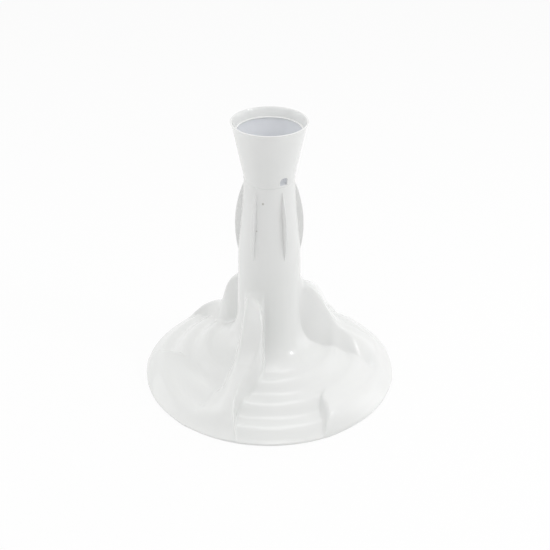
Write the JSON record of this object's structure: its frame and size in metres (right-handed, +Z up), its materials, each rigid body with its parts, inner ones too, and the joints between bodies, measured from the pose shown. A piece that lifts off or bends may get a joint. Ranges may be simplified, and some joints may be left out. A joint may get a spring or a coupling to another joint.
{
  "type": "washing machine agitator",
  "caption": "Washing machine agitator: a tapered post on a rippled skirt with swept main vanes, low ramps and crescent fins, and a flared funnel on top.",
  "frame": {"origin": "centre of the rim of the skirt, in the plane that the rim stands on", "axes": "+Z up along the drive shaft towards the mouth of the funnel; the front, the side that the picture shows, faces -Y; +X to its right"},
  "size_m": [0.35, 0.35, 0.3785],
  "materials": {
    "body_plastic": "gloss",
    "insert_plastic": "satin",
    "seal_rubber": "matte"
  },
  "bodies": {
    "root": {"agitator_body": "body_plastic", "drive_insert": "insert_plastic", "seal_ring": "seal_rubber"}
  },
  "joints": []
}
